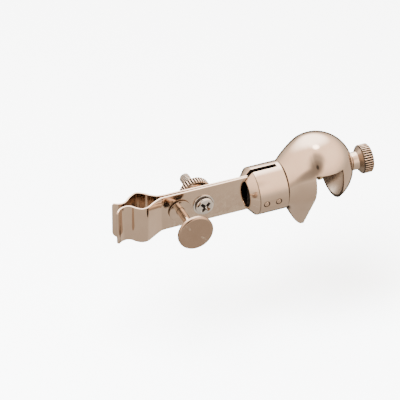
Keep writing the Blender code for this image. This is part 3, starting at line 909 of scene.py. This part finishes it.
def nut():
    low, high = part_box("nut_bush")
    bush_r = 3.6 * MM
    turned_piece("nut_bush_ring", "nut_bush", "nut_bush", [
        (CROSS_BORE_R, low.y, 0), (bush_r, low.y, 0.25 * MM), (bush_r, high.y, 0.15 * MM),
        (CROSS_BORE_R, high.y, 0),
    ], "Y", CROSS, NICKEL_TURNED)
    low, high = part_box("knurled_nut")
    r = (high.z - low.z) / 2
    bm = heightfield(*knurl(r, low.y, high.y), bore=CROSS_BORE_R)
    bm.transform(along("Y", CROSS))
    drum = finish_mesh(bm, "round_nut", NICKEL_TURNED, 32.0)
    grooves(drum, "Y", CROSS, r, (low.y, high.y))
    dress(drum, "knurled_nut", "knurled_nut")


def thumb():
    low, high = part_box("thumb_disc")
    r = (high.z - low.z) / 2
    turned_piece("disc_head", "thumb_disc", "thumb_screw", [
        (0, low.y + 0.10 * MM, 0), (r * 0.55, low.y + 0.07 * MM, 1.0 * MM), (r - 0.5 * MM, low.y, 0.4 * MM),
        (r, low.y + 0.45 * MM, 0.35 * MM), (r, high.y - 0.4 * MM, 0.3 * MM),
        (r - 0.4 * MM, high.y, 0.3 * MM), (0, high.y, 0),
    ], "Y", THUMB, NICKEL_DULL, steps=128)
    low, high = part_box("thumb_shank")
    turned_piece("thumb_rod", "thumb_shank", "thumb_screw", [
        (0, low.y, 0), (2.3 * MM, low.y, 0), (THUMB_R, low.y + 0.7 * MM, 0.4 * MM),
        (THUMB_R, THUMB_START_Y, 0), (0, THUMB_START_Y, 0),
    ], "Y", THUMB, NICKEL)
    threaded("thumb_thread", THUMB, THUMB_R, THUMB_START_Y, high.y, 0.35 * MM, NICKEL_TURNED, "thumb_screw")
    low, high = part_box("thumb_collar")
    collar_r = 4.0 * MM
    ring = turned_piece("collar_ring", "thumb_collar", "thumb_collar", [
        (THUMB_BORE_R, low.y, 0), (collar_r, low.y, 0.1 * MM), (collar_r, high.y, 0.1 * MM),
        (THUMB_BORE_R, high.y, 0),
    ], "Y", THUMB, NICKEL)
    # painted dark line of shade round the collar's side
    inlay(ring, DULL_NICKEL_IN_SHADE, lambda c, n: abs(n.y) < 0.8)
    low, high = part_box("clinch_nut")
    clinch_r = 2.5 * MM
    turned_piece("clinch_ring", "clinch_nut", "arm", [
        (THUMB_BORE_R, low.y, 0), (clinch_r, low.y, 0.1 * MM), (clinch_r, high.y, 0.25 * MM),
        (THUMB_BORE_R, high.y, 0.1 * MM), (THUMB_BORE_R, low.y + 0.3 * MM, 0),
    ], "Y", THUMB, STEEL)


def swivel():
    """The two CAD nodes that are shown as they are."""
    for node in ("swivel_stud", "friction_washer"):
        frame["nodes"][node].data.materials.clear()
        frame["nodes"][node].data.materials.append(STEEL)


cross_screw()
nut()
thumb()
swivel()


# ---------------------------------------------------------------- floor, light and camera

WARM = (1.0, 0.80, 0.63)  # light that comes up from the floor and from the front
PEACH = (1.0, 0.73, 0.54)  # light from the sides and above
PALE = (1.0, 0.88, 0.78)
SKY_STRENGTH = 1.75
# place up the sky from straight down (0) to straight up (1), level, tint
SKY_STOPS = [(place, [level * c for c in tint]) for place, level, tint in (
    (0.0, 0.44, WARM), (0.25, 0.53, WARM), (0.42, 0.61, WARM), (0.52, 0.82, WARM),
    (0.62, 1.35, PEACH), (0.75, 1.75, PEACH), (0.9, 1.9, PEACH),
)]
# direction, angle of full strength, angle where it ends, level, tint
SKY_LOBES = [(toward, inner, outer, [level * c for c in tint]) for toward, inner, outer, level, tint in (
    ((0.10, 0.72, 0.68), 14, 42, 4.2, PALE),
    ((0.31, 0.75, -0.58), 22, 38, 0.02, WARM),
    ((-0.31, 0.75, -0.59), 12, 30, 0.08, WARM),
    ((0.80, -0.08, -0.52), 10, 34, 0.62, WARM),
    ((-0.60, -0.75, 0.27), 4, 22, 0.35, WARM),
    ((-0.20, -0.50, 0.84), 9, 34, 0.55, WARM),
    ((-0.31, -0.75, 0.59), 6, 30, 0.28, WARM),
    ((-0.31, -0.75, 0.59), 2, 10, 0.05, WARM),
    ((0.09, 0.22, 0.97), 2, 11, 8.0, PALE),
)]
FLOOR_DROP = 45 * MM  # how far the floor is below the inner jaw's tip
FLOOR_SIZE = 1.6
FLOOR_COLOUR = (0.83, 0.90, 0.95, 1)
KEY_AT, KEY_SIZE, KEY_POWER = (-0.4, -0.3, 0.9), (0.6, 0.6), 110.0
PICTURE_SIDE = 400 * 0.3387 * MM  # what the picture spans at the ball
CAMERA_TURN, CAMERA_RISE = -22.8, 36.0
CAMERA_DISTANCE = 1.6
CAMERA_AIM = Vector((-38.6, 9.3, -8.8)) * MM  # from the ball's centre
SENSOR = 36.0


def lobe(tree, direction, toward, inner, outer):
    """1 within the inner angle of a direction, fading to 0 at the outer angle."""
    dot = add(tree, "ShaderNodeVectorMath", operation="DOT_PRODUCT")
    tree.links.new(direction, dot.inputs[0])
    dot.inputs[1].default_value = Vector(toward).normalized()
    fade = add(tree, "ShaderNodeMapRange", interpolation_type="SMOOTHSTEP")
    fade.inputs["From Min"].default_value = math.cos(math.radians(outer))
    fade.inputs["From Max"].default_value = math.cos(math.radians(inner))
    tree.links.new(dot.outputs["Value"], fade.inputs["Value"])
    return fade.outputs["Result"]


def sky():
    """A soft studio: dim near the horizon and behind the camera, with broad panels above and at the sides."""
    world = bpy.data.worlds.new("studio")
    bpy.context.scene.world = world
    world.use_nodes = True
    tree = world.node_tree
    direction = add(tree, "ShaderNodeTexCoord").outputs["Generated"]
    split = add(tree, "ShaderNodeSeparateXYZ")
    tree.links.new(direction, split.inputs["Vector"])
    rise = add(tree, "ShaderNodeMapRange")
    rise.inputs["From Min"].default_value = -1.0
    tree.links.new(split.outputs["Z"], rise.inputs["Value"])
    colour = ramp(tree, rise.outputs["Result"], SKY_STOPS).outputs["Color"]
    for toward, inner, outer, light in SKY_LOBES:
        colour = mix_colour(tree, lobe(tree, direction, toward, inner, outer), colour, (*light, 1))
    back = tree.nodes["Background"]
    tree.links.new(colour, back.inputs["Color"])
    back.inputs["Strength"].default_value = SKY_STRENGTH


def panel(name, where, size, power):
    """A soft lamp aimed at the origin that no polished surface mirrors."""
    data = bpy.data.lights.new(name, "AREA")
    data.shape = "RECTANGLE"
    data.size, data.size_y = size
    data.energy = power
    lamp = bpy.data.objects.new(name, data)
    lamp.location = where
    lamp.rotation_euler = (-Vector(where)).to_track_quat("-Z", "Y").to_euler()
    lamp.visible_glossy = False
    lamp.visible_camera = False
    bpy.context.scene.collection.objects.link(lamp)


def studio():
    bm = bmesh.new()
    bmesh.ops.create_grid(bm, x_segments=1, y_segments=1, size=FLOOR_SIZE)
    mesh = bpy.data.meshes.new("floor")
    bm.to_mesh(mesh)
    bm.free()
    floor = bpy.data.objects.new("floor", mesh)
    floor.location.z = BALL_LOW.z - FLOOR_DROP
    bpy.context.scene.collection.objects.link(floor)
    paper = bpy.data.materials.new("pale_floor")
    tree, shader = nodes_of(paper)
    shader.inputs["Base Color"].default_value = FLOOR_COLOUR
    shader.inputs["Roughness"].default_value = 0.9
    mesh.materials.append(paper)
    floor.visible_glossy = False
    sky()
    panel("key", KEY_AT, KEY_SIZE, KEY_POWER)


def camera():
    """A long lens, 36 degrees above the arm and turned 23 degrees along it."""
    turn, rise = math.radians(CAMERA_TURN), math.radians(CAMERA_RISE)
    back = Vector((math.sin(turn) * math.cos(rise), -math.cos(turn) * math.cos(rise), math.sin(rise)))
    aim = BALL + CAMERA_AIM
    data = bpy.data.cameras.new("camera")
    data.sensor_width = SENSOR
    data.lens = SENSOR * CAMERA_DISTANCE / PICTURE_SIDE
    data.clip_start, data.clip_end = 0.05, 20.0
    made = bpy.data.objects.new("camera", data)
    made.location = aim + back * CAMERA_DISTANCE
    made.rotation_euler = (-back).to_track_quat("-Z", "Y").to_euler()
    bpy.context.scene.collection.objects.link(made)
    bpy.context.scene.camera = made


studio()
camera()
